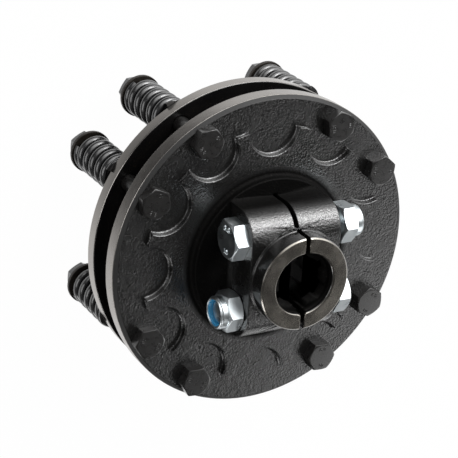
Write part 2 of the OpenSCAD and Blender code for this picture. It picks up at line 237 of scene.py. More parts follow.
def cast_enamel():
    """Black enamel over sand-cast iron: a thin gloss that shows the sand's grain, with light
    specks. It is smooth where the nose was turned and matt on the rim's chamfer. In the root, on
    the block's ends and in the bore it has painted shade, an almost black uncoated metal. It is
    gone from the nose's front and the rim, which are bare steel."""
    shade_blackening = 0.92
    matt_roughness = 0.64
    coat_weight = 0.8
    material, tree, skin, where = new_material(
        "black_enamel_on_cast_iron", IOR=1.5, Coat_Roughness=0.12)
    link = tree.links.new
    radius = distance_from_axis(tree, where)
    height = add(tree, "ShaderNodeSeparateXYZ", {0: where}).outputs["Z"]

    # Where the casting was turned, where its steel is bare and where shade is painted
    rim = add(tree, "ShaderNodeMapRange", {
        "Value": radius, "From Min": CHAMFER_R, "From Max": CHAMFER_R + 0.4 * MM}).outputs[0]
    wall = bare_rim(tree, radius, PLATE_R)
    nose = add(tree, "ShaderNodeMapRange", {
        "Value": height, "From Min": BLOCK_Z + 0.2 * MM, "From Max": BLOCK_Z + 0.6 * MM}).outputs[0]
    front = add(tree, "ShaderNodeMapRange", {
        "Value": height, "From Min": NOSE_Z - 0.9 * MM, "From Max": NOSE_Z - 0.7 * MM}).outputs[0]
    painted_dark = painted_shade_mask(tree, where, radius, height)
    turned = add(tree, "ShaderNodeMath", {0: rim, 1: nose}, operation="MAXIMUM").outputs[0]

    # Sand grain over a slow swell
    grain = add(tree, "ShaderNodeTexNoise", {
        "Vector": where, "Scale": cells(1.1), "Detail": 2.0, "Roughness": 0.5}).outputs[0]
    swell = add(tree, "ShaderNodeTexNoise", {
        "Vector": where, "Scale": cells(9), "Detail": 2.0}).outputs[0]
    rough_cast = add(tree, "ShaderNodeMapRange", {"Value": turned, "To Min": 0.9, "To Max": 0.08})
    bump = add(tree, "ShaderNodeBump", {
        "Strength": rough_cast.outputs[0], "Distance": 0.34 * MM, "Height": grain})
    wave = add(tree, "ShaderNodeBump", {
        "Strength": 0.12, "Distance": 0.9 * MM, "Height": swell, "Normal": bump.outputs[0]})
    link(wave.outputs[0], skin.inputs["Normal"])
    link(wave.outputs[0], skin.inputs["Coat Normal"])

    # Black with light specks, and steel where it is bare
    dots = add(tree, "ShaderNodeTexVoronoi", {"Vector": where, "Scale": cells(2.6)})
    speck = add(tree, "ShaderNodeMapRange", {
        "Value": dots.outputs["Distance"], "From Min": 0.12, "From Max": 0.06, "To Max": 0.15})
    tone = add(tree, "ShaderNodeMix", {
        "Factor": grain, "A": linear("#050505"), "B": linear("#0d0c0b")}, data_type="RGBA")
    specked = add(tree, "ShaderNodeMix", {
        "Factor": speck.outputs[0], "A": tone.outputs["Result"], "B": linear("#6a665e")},
        data_type="RGBA")
    cut = add(tree, "ShaderNodeMix", {
        "Factor": front, "A": specked.outputs["Result"], "B": linear("#77736c")}, data_type="RGBA")
    bare = add(tree, "ShaderNodeMix", {
        "Factor": wall, "A": cut.outputs["Result"], "B": linear(RIM_STEEL)}, data_type="RGBA")
    link(bare.outputs["Result"], skin.inputs["Base Color"])
    steel = add(tree, "ShaderNodeMath", {0: front, 1: wall}, operation="MAXIMUM").outputs[0]
    # Painted shade: where the mask is full the casting turns into an almost black metal that
    # mirrors nearly nothing
    blackened = add(tree, "ShaderNodeMath", {0: painted_dark, 1: shade_blackening}, operation="MULTIPLY").outputs[0]
    metal = add(tree, "ShaderNodeMath", {0: steel, 1: blackened}, operation="MAXIMUM").outputs[0]
    link(metal, skin.inputs["Metallic"])

    # Gloss under a clear coat, which the places of painted shade and the rim don't have
    gloss = add(tree, "ShaderNodeMapRange", {
        "Value": swell, "From Min": 0.3, "From Max": 0.7, "To Min": 0.2, "To Max": 0.3}).outputs[0]
    chamfer = add(tree, "ShaderNodeMath", {0: rim, 1: wall}, operation="SUBTRACT").outputs[0]
    matt = add(tree, "ShaderNodeMath", {0: painted_dark, 1: chamfer}, operation="MAXIMUM").outputs[0]
    roughness = add(tree, "ShaderNodeMix", {
        "Factor": matt, "A": gloss, "B": matt_roughness}, data_type="FLOAT")
    link(roughness.outputs[0], skin.inputs["Roughness"])
    uncoated = add(tree, "ShaderNodeMath", {0: painted_dark, 1: rim}, operation="MAXIMUM").outputs[0]
    coat = add(tree, "ShaderNodeMapRange", {"Value": uncoated, "To Min": coat_weight, "To Max": 0.0})
    link(coat.outputs[0], skin.inputs["Coat Weight"])
    return material


def turned_enamel():
    """Black enamel on a turned steel plate: smooth, with faint rings left by the lathe, and bare
    steel on its rim."""
    material, tree, skin, where = new_material("black_enamel_on_turned_steel", IOR=1.5)
    link = tree.links.new
    rings = add(tree, "ShaderNodeTexWave", {
        "Vector": where, "Scale": cells(9), "Distortion": 0.4, "Detail": 1.0},
        wave_type="RINGS", rings_direction="Z")
    patches = add(tree, "ShaderNodeTexNoise", {
        "Vector": where, "Scale": cells(14), "Detail": 3.0}).outputs[0]
    bump = add(tree, "ShaderNodeBump", {
        "Strength": 0.12, "Distance": 0.05 * MM, "Height": rings.outputs[0]})
    link(bump.outputs[0], skin.inputs["Normal"])
    wall = bare_rim(tree, distance_from_axis(tree, where), PRESSURE_R)
    tone = add(tree, "ShaderNodeMix", {
        "Factor": patches, "A": linear("#060606"), "B": linear("#0d0c0c")}, data_type="RGBA")
    bare = add(tree, "ShaderNodeMix", {
        "Factor": wall, "A": tone.outputs["Result"], "B": linear(RIM_STEEL)}, data_type="RGBA")
    link(bare.outputs["Result"], skin.inputs["Base Color"])
    link(wall, skin.inputs["Metallic"])
    gloss = add(tree, "ShaderNodeMapRange", {
        "Value": patches, "From Min": 0.3, "From Max": 0.7, "To Min": 0.16, "To Max": 0.26})
    link(gloss.outputs[0], skin.inputs["Roughness"])
    return material


def black_oxide():
    """Black oxide on forged steel: a dark, slightly brown film with a dull sheen, worn to bare
    steel along the edges that a spanner rubs."""
    material, tree, skin, where = new_material(
        "black_oxide_steel", IOR=1.6, Coat_Weight=0.5, Coat_Roughness=0.18)
    link = tree.links.new
    film = add(tree, "ShaderNodeTexNoise", {
        "Vector": where, "Scale": cells(3), "Detail": 5.0}).outputs[0]
    pits = add(tree, "ShaderNodeTexNoise", {"Vector": where, "Scale": cells(0.7), "Detail": 2.0})
    bump = add(tree, "ShaderNodeBump", {
        "Strength": 0.25, "Distance": 0.06 * MM, "Height": pits.outputs[0]})
    link(bump.outputs[0], skin.inputs["Normal"])
    edges = add(tree, "ShaderNodeAttribute", attribute_name="worn").outputs["Fac"]
    share = add(tree, "ShaderNodeMapRange", {
        "Value": film, "From Min": 0.3, "From Max": 0.6, "To Min": 0.6, "To Max": 1.0}).outputs[0]
    wear = add(tree, "ShaderNodeMath", {0: edges, 1: share}, operation="MULTIPLY").outputs[0]
    tone = add(tree, "ShaderNodeMix", {
        "Factor": film, "A": linear("#090909"), "B": linear("#151312")}, data_type="RGBA")
    worn = add(tree, "ShaderNodeMix", {
        "Factor": wear, "A": tone.outputs["Result"], "B": linear(RIM_STEEL)}, data_type="RGBA")
    link(worn.outputs["Result"], skin.inputs["Base Color"])
    link(wear, skin.inputs["Metallic"])
    gloss = add(tree, "ShaderNodeMapRange", {
        "Value": film, "From Min": 0.3, "From Max": 0.7, "To Min": 0.24, "To Max": 0.36})
    link(gloss.outputs[0], skin.inputs["Roughness"])
    return material


def oiled_washer_steel():
    """Punched steel washers, blackened and oiled: brown where the film is thin."""
    material, tree, skin, where = new_material("oiled_black_steel", Metallic=0.6)
    link = tree.links.new
    film = add(tree, "ShaderNodeTexNoise", {
        "Vector": where, "Scale": cells(4), "Detail": 5.0}).outputs[0]
    tone = add(tree, "ShaderNodeMix", {
        "Factor": film, "A": linear("#151311"), "B": linear("#2f2a25")}, data_type="RGBA")
    link(tone.outputs["Result"], skin.inputs["Base Color"])
    gloss = add(tree, "ShaderNodeMapRange", {"Value": film, "To Min": 0.34, "To Max": 0.5})
    link(gloss.outputs[0], skin.inputs["Roughness"])
    return material


def lacquered_wire():
    """Spring wire dipped in black lacquer: deep black with soft, bright highlights."""
    material, tree, skin, where = new_material(
        "black_lacquered_spring_wire", IOR=1.52, Coat_Weight=0.8, Coat_Roughness=0.14)
    link = tree.links.new
    streaks = add(tree, "ShaderNodeTexNoise", {
        "Vector": where, "Scale": cells(2.5), "Detail": 3.0}).outputs[0]
    bump = add(tree, "ShaderNodeBump", {
        "Strength": 0.05, "Distance": 0.05 * MM, "Height": streaks})
    link(bump.outputs[0], skin.inputs["Normal"])
    tone = add(tree, "ShaderNodeMix", {
        "Factor": streaks, "A": linear("#0b0b0c"), "B": linear("#171718")}, data_type="RGBA")
    link(tone.outputs["Result"], skin.inputs["Base Color"])
    gloss = add(tree, "ShaderNodeMapRange", {"Value": streaks, "To Min": 0.24, "To Max": 0.36})
    link(gloss.outputs[0], skin.inputs["Roughness"])
    return material


def bright_zinc():
    """Bright zinc plate with a clear blue passivate: a cool white metal with soft streaks, made a
    dark metal where the bolts run inside the block."""
    material, tree, skin, where = new_material("bright_zinc_plate", Metallic=1.0)
    link = tree.links.new
    bloom = add(tree, "ShaderNodeTexNoise", {
        "Vector": where, "Scale": cells(6), "Detail": 3.0}).outputs[0]
    scratch = add(tree, "ShaderNodeTexNoise", {
        "Vector": where, "Scale": cells(0.5), "Detail": 2.0}).outputs[0]
    bump = add(tree, "ShaderNodeBump", {
        "Strength": 0.12, "Distance": 0.03 * MM, "Height": scratch})
    link(bump.outputs[0], skin.inputs["Normal"])
    along = add(tree, "ShaderNodeSeparateXYZ", {0: where}).outputs["X"]
    reach = add(tree, "ShaderNodeMath", {0: along}, operation="ABSOLUTE").outputs[0]
    # The bolts turn a dark metal within the block's width
    within = add(tree, "ShaderNodeMapRange", {
        "Value": reach, "From Min": BLOCK_HALF_W - 0.6 * MM, "From Max": BLOCK_HALF_W - 1 * MM})
    tone = add(tree, "ShaderNodeMix", {
        "Factor": bloom, "A": linear("#c3ced3"), "B": linear("#e2e5e6")}, data_type="RGBA")
    darker_inside = add(tree, "ShaderNodeMix", {
        "Factor": within.outputs[0], "A": tone.outputs["Result"], "B": linear("#1c1b1a")},
        data_type="RGBA")
    link(darker_inside.outputs["Result"], skin.inputs["Base Color"])
    gloss = add(tree, "ShaderNodeMapRange", {"Value": bloom, "To Min": 0.2, "To Max": 0.42})
    link(gloss.outputs[0], skin.inputs["Roughness"])
    return material


def blue_nylon():
    """Moulded blue nylon: an even colour, a soft sheen and a little light inside."""
    material, tree, skin, where = new_material(
        "blue_nylon", Roughness=0.38, IOR=1.53, Subsurface_Weight=0.1,
        Subsurface_Radius=(0.3 * MM, 0.6 * MM, 1.0 * MM))
    cloud = add(tree, "ShaderNodeTexNoise", {"Vector": where, "Scale": cells(3), "Detail": 2.0})
    tone = add(tree, "ShaderNodeMix", {
        "Factor": cloud.outputs[0], "A": linear("#22709a"), "B": linear("#3d93bf")},
        data_type="RGBA")
    tree.links.new(tone.outputs["Result"], skin.inputs["Base Color"])
    return material


def turned_bronze():
    """Sintered bronze, turned: fine rings on a brown-gold metal with open pores."""
    material, tree, skin, where = new_material("sintered_bronze", Metallic=1.0, Roughness=0.38)
    link = tree.links.new
    rings = add(tree, "ShaderNodeTexWave", {
        "Vector": where, "Scale": cells(6), "Distortion": 0.5},
        wave_type="RINGS", rings_direction="Z")
    pores = add(tree, "ShaderNodeTexNoise", {"Vector": where, "Scale": cells(0.9), "Detail": 3.0})
    bump = add(tree, "ShaderNodeBump", {
        "Strength": 0.2, "Distance": 0.05 * MM, "Height": rings.outputs[0]})
    link(bump.outputs[0], skin.inputs["Normal"])
    tone = add(tree, "ShaderNodeMix", {
        "Factor": pores.outputs[0], "A": linear("#7a5a30"), "B": linear("#b58d52")},
        data_type="RGBA")
    link(tone.outputs["Result"], skin.inputs["Base Color"])
    return material


def oiled_turned_steel():
    """Turned steel under a film of oil: grey metal with lathe rings and darker patches."""
    material, tree, skin, where = new_material("oiled_turned_steel", Metallic=1.0)
    link = tree.links.new
    rings = add(tree, "ShaderNodeTexWave", {
        "Vector": where, "Scale": cells(7), "Distortion": 0.6, "Detail": 1.0},
        wave_type="RINGS", rings_direction="Z")
    oil = add(tree, "ShaderNodeTexNoise", {
        "Vector": where, "Scale": cells(11), "Detail": 4.0}).outputs[0]
    bump = add(tree, "ShaderNodeBump", {
        "Strength": 0.2, "Distance": 0.06 * MM, "Height": rings.outputs[0]})
    link(bump.outputs[0], skin.inputs["Normal"])
    tone = add(tree, "ShaderNodeMix", {
        "Factor": oil, "A": linear("#161616"), "B": linear("#2b2a29")}, data_type="RGBA")
    link(tone.outputs["Result"], skin.inputs["Base Color"])
    gloss = add(tree, "ShaderNodeMapRange", {"Value": oil, "To Min": 0.26, "To Max": 0.46})
    link(gloss.outputs[0], skin.inputs["Roughness"])
    return material


def ground_lining():
    """Moulded friction lining, ground flat: brown resin with pale fibres and brass chips."""
    material, tree, skin, where = new_material("ground_friction_lining", Roughness=0.78)
    link = tree.links.new
    resin = add(tree, "ShaderNodeTexNoise", {
        "Vector": where, "Scale": cells(3), "Detail": 6.0}).outputs[0]
    chips = add(tree, "ShaderNodeTexVoronoi", {"Vector": where, "Scale": cells(1.4)})
    chip = add(tree, "ShaderNodeMapRange", {
        "Value": chips.outputs["Distance"], "From Min": 0.22, "From Max": 0.12})
    tone = add(tree, "ShaderNodeMix", {
        "Factor": resin, "A": linear("#241d18"), "B": linear("#4a3d30")}, data_type="RGBA")
    chipped = add(tree, "ShaderNodeMix", {
        "Factor": chip.outputs[0], "A": tone.outputs["Result"], "B": linear("#a38a5c")},
        data_type="RGBA")
    link(chipped.outputs["Result"], skin.inputs["Base Color"])
    bump = add(tree, "ShaderNodeBump", {"Strength": 0.3, "Distance": 0.1 * MM, "Height": resin})
    link(bump.outputs[0], skin.inputs["Normal"])
    return material


MATERIALS = {
    "cast_paint": cast_enamel(),
    "plate_paint": turned_enamel(),
    "black_bolt": black_oxide(),
    "black_washer": oiled_washer_steel(),
    "spring_steel": lacquered_wire(),
    "zinc": bright_zinc(),
    "nylon": blue_nylon(),
    "bronze": turned_bronze(),
    "hub_steel": oiled_turned_steel(),
    "lining": ground_lining(),
}
node_slots = {row["node"]: row["material_slot"] for row in frame["record"]["subparts"]}


def body_of(node):
    """Name of the body that carries a CAD node."""
    return frame["nodes"][node]["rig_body"]


def finish_piece(piece, nodes, slot, body=BODY):
    """Gives a piece its finish, puts it on its body and lets it stand for these CAD nodes."""
    piece.data.materials.clear()
    piece.data.materials.append(MATERIALS[slot])
    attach(piece, body)
    if nodes:
        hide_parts(*nodes)
    return piece


def new_object(name, data):
    """Links a mesh, a lamp or a camera to the scene as an object at the origin."""
    made = bpy.data.objects.new(name, data)
    bpy.context.scene.collection.objects.link(made)
    return made


def shade(mesh, sharp_deg):
    """Smooth shading, with a crease at edges sharper than the given angle."""
    mesh.polygons.foreach_set("use_smooth", [True] * len(mesh.polygons))
    mesh.set_sharp_from_angle(angle=math.radians(sharp_deg))


def bake_modifiers(piece):
    """Replaces a piece's mesh by its modifiers' result, and drops the modifiers."""
    graph = bpy.context.evaluated_depsgraph_get()
    piece.data = bpy.data.meshes.new_from_object(piece.evaluated_get(graph))
    piece.data.name = piece.name
    piece.modifiers.clear()


def rounded_copy(node, name, edge_width, widest, segments=2):
    """Copy of a CAD node with its sharp edges rounded; edge_width gives an edge's own width."""
    merge_distance = 0.002 * MM
    flat_deg = 0.6
    shell = bmesh.new()
    shell.from_mesh(frame["nodes"][node].data)
    bmesh.ops.remove_doubles(shell, verts=shell.verts[:], dist=merge_distance)
    bmesh.ops.dissolve_limit(
        shell, angle_limit=math.radians(flat_deg), verts=shell.verts[:], edges=shell.edges[:])
    weight = shell.edges.layers.float.new("bevel_weight_edge")
    for edge in shell.edges:
        if edge.calc_face_angle() > math.radians(SHARP_DEG):
            edge[weight] = edge_width(edge) / widest
    mesh = bpy.data.meshes.new(name)
    shell.to_mesh(mesh)
    shell.free()
    shade(mesh, sharp_deg=180)
    piece = new_object(name, mesh)
    rounding = piece.modifiers.new("Rounding", "BEVEL")
    rounding.limit_method = "WEIGHT"
    rounding.width = widest
    rounding.segments = segments
    rounding.use_clamp_overlap = False
    even = piece.modifiers.new("Even faces", "WEIGHTED_NORMAL")
    even.weight = 100
    even.keep_sharp = True
    bake_modifiers(piece)
    return piece


def casting_edge(edge):
    """Rounding of one edge of the casting: wide where it left the mould, fine where it was cut,
    and none in the bore, at the pad's foot and round the top of the root."""
    middle = (edge.verts[0].co + edge.verts[1].co) / 2
    radius = middle.xy.length
    at_rim = radius > PLATE_R - 3 * MM
    in_bore = radius < MOUTH_R + 2 * MM
    at_pad_foot = abs(middle.z - FACE_Z) < 0.1 * MM and not at_rim
    at_root_top = abs(middle.z - ROOT_TOP_Z) < 0.8 * MM and radius > NOSE_R
    if in_bore or at_pad_foot or at_root_top:
        return 0
    under_face = middle.z < FACE_Z - 1 * MM
    in_slit = abs(middle.x) < 2.5 * MM
    if at_rim or under_face or in_slit:
        return CUT_EDGE
    if middle.z > BLOCK_Z - 0.5 * MM and radius < NOSE_R + 1.5 * MM:
        return NOSE_EDGE
    if middle.z > FACE_Z + 6 * MM:
        return BLOCK_EDGE
    return PAD_EDGE


def flange_casting():
    """The front casting, with the soft edges of a sand mould."""
    piece = rounded_copy(
        "flange_hub", "flange_casting", casting_edge, widest=BLOCK_EDGE, segments=3)
    return finish_piece(piece, ["flange_hub"], "cast_paint")


def turned_copy(node, name, width):
    """Copy of a CAD node with all its edges broken by the same small amount."""
    piece = rounded_copy(node, name, lambda edge: width, widest=width)
    return finish_piece(piece, [node], node_slots[node], body_of(node))


flange_casting()
for node, width_mm in [
        ("pressure_plate", 0.2), ("spring_nuts", 0.18), ("spring_washers", 0.35),
        ("upper_clamp_bolt", 0.15), ("lower_clamp_bolt", 0.15),
        ("upper_lock_nut", 0.12), ("lower_lock_nut", 0.12),
        ("upper_nut_ring", 0.1), ("lower_nut_ring", 0.1), ("pilot_bush", 0.2),
        ("drive_hub", 0.25), ("front_lining", 0.2), ("rear_lining", 0.2)]:
    turned_copy(node, node + "_finished", width_mm * MM)


def spring_tree():
    """Geometry nodes that wind one spring: closed end turns, ground flat, and open ones between."""
    tree = bpy.data.node_groups.new("Wind spring", "GeometryNodeTree")
    for name, kind in [
            ("Coil Radius", "NodeSocketFloat"), ("Wire Radius", "NodeSocketFloat"),
            ("Length", "NodeSocketFloat"), ("Turns", "NodeSocketFloat"),
            ("Place", "NodeSocketVector"), ("Turned", "NodeSocketVector"),
            ("Finish", "NodeSocketMaterial")]:
        tree.interface.new_socket(name, in_out="INPUT", socket_type=kind)
    tree.interface.new_socket("Geometry", in_out="OUTPUT", socket_type="NodeSocketGeometry")
    given = add(tree, "NodeGroupInput").outputs
    wire_r = given["Wire Radius"]
    coil_r = given["Coil Radius"]

    # The wire's tip starts a little above the ground face, and the end turns almost touch.
    tip = add(tree, "ShaderNodeMath", {0: wire_r, 1: TIP_SHARE}, operation="MULTIPLY").outputs[0]
    closed = add(tree, "ShaderNodeMath", {
        0: wire_r, 1: CLOSED_SHARE}, operation="MULTIPLY").outputs[0]
    ends = add(tree, "ShaderNodeMath", {0: tip, 1: closed}, operation="ADD").outputs[0]
    free = add(tree, "ShaderNodeMath", {
        0: ends, 1: -2.0, 2: given["Length"]}, operation="MULTIPLY_ADD").outputs[0]
    open_turns = add(tree, "ShaderNodeMath", {
        0: given["Turns"], 1: 2.0}, operation="SUBTRACT").outputs[0]
    pitch = add(tree, "ShaderNodeMath", {0: free, 1: open_turns}, operation="DIVIDE").outputs[0]
    extra = add(tree, "ShaderNodeMath", {0: pitch, 1: closed}, operation="SUBTRACT").outputs[0]

    # Height and angle along the wire
    along = add(tree, "GeometryNodeSplineParameter").outputs["Factor"]
    turn = add(tree, "ShaderNodeMath", {
        0: along, 1: given["Turns"]}, operation="MULTIPLY").outputs[0]
    past = add(tree, "ShaderNodeMath", {0: turn, 1: 1.0}, operation="SUBTRACT").outputs[0]
    opened = add(tree, "ShaderNodeClamp", {
        "Value": past, "Min": 0.0, "Max": open_turns}).outputs[0]
    low = add(tree, "ShaderNodeMath", {
        0: turn, 1: closed, 2: tip}, operation="MULTIPLY_ADD").outputs[0]
    height = add(tree, "ShaderNodeMath", {
        0: opened, 1: extra, 2: low}, operation="MULTIPLY_ADD").outputs[0]
    angle = add(tree, "ShaderNodeMath", {0: turn, 1: math.tau}, operation="MULTIPLY").outputs[0]
    cosine = add(tree, "ShaderNodeMath", {0: angle}, operation="COSINE").outputs[0]
    sine = add(tree, "ShaderNodeMath", {0: angle}, operation="SINE").outputs[0]
    x = add(tree, "ShaderNodeMath", {0: cosine, 1: coil_r}, operation="MULTIPLY").outputs[0]
    y = add(tree, "ShaderNodeMath", {0: sine, 1: coil_r}, operation="MULTIPLY").outputs[0]
    wound = add(tree, "ShaderNodeCombineXYZ", {"X": x, "Y": y, "Z": height}).outputs[0]

    # A straight line is wound, swept by the wire's section and ground flat at both ends.
    line = add(tree, "GeometryNodeCurvePrimitiveLine").outputs[0]
    fine = add(tree, "GeometryNodeResampleCurve", {
        "Curve": line, "Count": SPRING_TURNS * POINTS_PER_TURN + 1}).outputs[0]
    helix = add(tree, "GeometryNodeSetPosition", {"Geometry": fine, "Position": wound}).outputs[0]
    section = add(tree, "GeometryNodeCurvePrimitiveCircle", {
        "Resolution": WIRE_SIDES, "Radius": wire_r}, mode="RADIUS").outputs[0]
    wire = add(tree, "GeometryNodeCurveToMesh", {
        "Curve": helix, "Profile Curve": section, "Fill Caps": True}).outputs[0]
    position = add(tree, "GeometryNodeInputPosition").outputs[0]
    point = add(tree, "ShaderNodeSeparateXYZ", {0: position}).outputs
    level = add(tree, "ShaderNodeClamp", {
        "Value": point["Z"], "Min": 0.0, "Max": given["Length"]}).outputs[0]
    ground_point = add(tree, "ShaderNodeCombineXYZ", {
        "X": point["X"], "Y": point["Y"], "Z": level}).outputs[0]
    ground = add(tree, "GeometryNodeSetPosition", {
        "Geometry": wire, "Position": ground_point}).outputs[0]
    placed = add(tree, "GeometryNodeTransform", {
        "Geometry": ground, "Translation": given["Place"], "Rotation": given["Turned"]}).outputs[0]
    real = add(tree, "GeometryNodeRealizeInstances", {"Geometry": placed}).outputs[0]
    finished = add(tree, "GeometryNodeSetMaterial", {
        "Geometry": real, "Material": given["Finish"]}).outputs[0]
    add(tree, "NodeGroupOutput", {"Geometry": finished})
    return tree


def grow(name, tree, mesh=None, **inputs):
    """Plain mesh object made by a geometry node tree with these inputs."""
    piece = new_object(name, mesh or bpy.data.meshes.new(name))
    growth = piece.modifiers.new("Growth", "NODES")
    growth.node_group = tree
    for item in tree.interface.items_tree:
        if item.in_out == "INPUT" and item.name in inputs:
            growth[item.identifier] = inputs[item.name]
    bake_modifiers(piece)
    return piece


def round_point(radius, angle, z):
    """Point at a radius and an angle round the Z axis."""
    return Vector((radius * math.cos(angle), radius * math.sin(angle), z))


winding = spring_tree()
for number, place_deg in enumerate(BOLT_PLACES_DEG, 1):
    place = math.radians(place_deg)
    spring = grow("coil_spring_%d" % number, winding, **{
        "Coil Radius": SPRING_R - WIRE_R, "Wire Radius": WIRE_R, "Length": SPRING_LENGTH,
        "Turns": float(SPRING_TURNS), "Place": round_point(BOLT_CIRCLE_R, place, spring_low.z),
        "Turned": Vector((0, 0, place)), "Finish": MATERIALS["spring_steel"]})
    shade(spring.data, sharp_deg=50)
    finish_piece(spring, ["spring_%d" % number], "spring_steel")


def bridge(shell, rows):
    """Faces between each closed row of vertices and the next."""
    for low, high in zip(rows, rows[1:]):
        for i in range(len(low)):
            j = (i + 1) % len(low)
            shell.faces.new((low[i], low[j], high[j], high[i]))


def solid(shell, rows):
    """Closed solid over rows of vertices, with a face at each end."""
    bridge(shell, rows)
    shell.faces.new(list(reversed(rows[0])))
    shell.faces.new(rows[-1])


def closed_mesh(shell, name, sharp_deg):
    """Mesh of closed shells, with their faces turned outwards and their sharp edges creased."""
    bmesh.ops.recalc_face_normals(shell, faces=shell.faces[:])
    mesh = bpy.data.meshes.new(name)
    shell.to_mesh(mesh)
    shell.free()
    shade(mesh, sharp_deg)
    return mesh


def threaded_shank(shell, low_z, high_z):
    """Shank with a rolled thread at its lower end, fading out into the plain part."""
    sides = 28
    rows_per_pitch = 6
    fading_pitches = 3
    flank_slope = 1.6
    step = THREAD_PITCH / rows_per_pitch
    last_row = int(THREAD_LENGTH / step)
    rows = []
    for number in range(last_row + 1):
        z = low_z + number * step
        depth = THREAD_DEPTH * min(1, (last_row - number) / (fading_pitches * rows_per_pitch))
        end_r = min(BOLT_R, BOLT_R - THREAD_CHAMFER + (z - low_z))
        row = []
        for i in range(sides):
            phase = (number / rows_per_pitch - i / sides) % 1
            crest = min(1, flank_slope * abs(2 * phase - 1)) * depth
            r = min(BOLT_R - depth + crest, end_r)
            row.append(shell.verts.new(round_point(r, math.tau * i / sides, z)))
        rows.append(row)
    rows.append([shell.verts.new((v.co.x, v.co.y, high_z)) for v in rows[-1]])
    solid(shell, rows)


def hex_head(shell, af, height, base_z):
    """Hexagon head with its corners turned off in a cone, round a flat top, and soft edges that
    are marked as worn."""
    columns = 72
    cone_slope = math.tan(math.pi / 6)
    sharp_deg = 20
    widest_r = af / 2 / math.cos(math.pi / 6) - HEAD_CORNER_LOSS
    top_r = HEX_TOP_SHARE * af / 2
    rows = [[], [], []]
    for i in range(columns):
        a = math.tau * i / columns
        side_r = min(af / 2 / math.cos(a % (math.pi / 3) - math.pi / 6), widest_r)
        drop = (side_r - top_r) * cone_slope
        for row, r, z in zip(rows, (side_r, side_r, top_r), (0, height - drop, height)):
            row.append(shell.verts.new(round_point(r, a, base_z + z)))
    solid(shell, rows)
    edges = {e for row in rows for v in row for e in v.link_edges}
    sharp = [e for e in edges if e.calc_face_angle() > math.radians(sharp_deg)]
    rounded = bmesh.ops.bevel(
        shell, geom=sharp, offset=HEAD_EDGE, offset_type="OFFSET", segments=2, profile=0.5,
        affect="EDGES", clamp_overlap=False)
    worn = shell.faces.layers.float["worn"]
    for face in rounded["faces"]:
        face[worn] = 1.0


def raised_ring(shell, centre, half_width, half_height):
    """Raised oval line on a flat top, with a low round section."""
    around = 16
    section = 5
    rings = []
    for i in range(around):
        a = math.tau * i / around
        ring = []
        for j in range(section):
            b = math.pi * j / (section - 1)
            reach = MARK_LINE * math.cos(b)
            ring.append(shell.verts.new(centre + Vector((
                (half_width + reach) * math.cos(a), (half_height + reach) * math.sin(a),
                MARK_H * math.sin(b) - MARK_SUNK))))
        rings.append(ring)
    bridge(shell, rings + rings[:1])


def raised_bar(shell, centre, half_width, half_height):
    """Raised bar or dot on a flat top, narrowing towards its own top."""
    around = 14
    shoulder_z = 0.7 * MARK_H
    rows = []
    for share, z in ((1, -MARK_SUNK), (0.9, shoulder_z), (0.55, MARK_H)):
        row = []
        for i in range(around):
            a = math.tau * i / around
            row.append(shell.verts.new(centre + Vector((
                share * half_width * math.cos(a), share * half_height * math.sin(a), z))))
        rows.append(row)
    solid(shell, rows)


def strength_mark(shell, top_z, reach):
    """Strength class 8.8 along one side of a head's top, and the size 10 along the other."""
    eight_x = 1.5 * MM
    upper_y = reach + 0.55 * MM
    lower_y = reach - 0.6 * MM
    point_y = reach - 1 * MM
    point_r = 0.28 * MM
    one_x = -1 * MM
    nought_x = 0.7 * MM
    for x in (-eight_x, eight_x):
        raised_ring(shell, Vector((x, upper_y, top_z)), 0.5 * MM, 0.48 * MM)
        raised_ring(shell, Vector((x, lower_y, top_z)), 0.58 * MM, 0.56 * MM)
    raised_bar(shell, Vector((0, point_y, top_z)), point_r, point_r)
    raised_bar(shell, Vector((one_x, -reach, top_z)), 0.24 * MM, 1.15 * MM)
    raised_ring(shell, Vector((nought_x, -reach, top_z)), 0.6 * MM, 1 * MM)


def clamp_marks(name, node, turn_deg):
    """Raised strength mark on the head of a clamp bolt; turn 0 has its head towards -X."""
    low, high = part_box(node)
    centre = (low + high) / 2
    centre.x = high.x if turn_deg else low.x
    shell = bmesh.new()
    strength_mark(shell, 0, CLAMP_MARK_REACH)
    shell.transform(
        Matrix.Translation(centre) @ Matrix.Rotation(math.radians(turn_deg), 4, "Z")
        @ Matrix.Rotation(math.radians(-90), 4, "Y") @ Matrix.Scale(CLAMP_MARK_SCALE, 4))
    return finish_piece(new_object(name, closed_mesh(shell, name, sharp_deg=40)), [], "zinc")


def rolled_lip(name, node, end_x):
    """Bead at the end of a lock nut's collar, rolled inwards over the nylon ring."""
    around = 64
    section = 14
    low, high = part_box(node)
    centre = (low + high) / 2
    middle_x = end_x - math.copysign(LIP_BEAD_R * LIP_INSET_SHARE, end_x)
    shell = bmesh.new()
    rings = []
    for i in range(around):
        a = math.tau * i / around
        ring = []
        for j in range(section):
            b = math.tau * j / section
            r = LIP_R + LIP_BEAD_R * math.cos(b)
            ring.append(shell.verts.new((
                middle_x + LIP_BEAD_R * math.sin(b),
                centre.y + r * math.cos(a), centre.z + r * math.sin(a))))
        rings.append(ring)
    bridge(shell, rings + rings[:1])
    return finish_piece(new_object(name, closed_mesh(shell, name, sharp_deg=60)), [], "zinc")


def spring_bolt_mesh():
    """One long bolt, standing on its end at z = 0 on the axis."""
    shell = bmesh.new()
    shell.faces.layers.float.new("worn")
    hex_head(shell, HEAD_AF, HEAD_H, FACE_Z)
    strength_mark(shell, HEAD_TOP_Z, SPRING_MARK_REACH)
    threaded_shank(shell, 0, FACE_Z + SHANK_IN_HEAD)
    return closed_mesh(shell, "spring_bolt", sharp_deg=40)


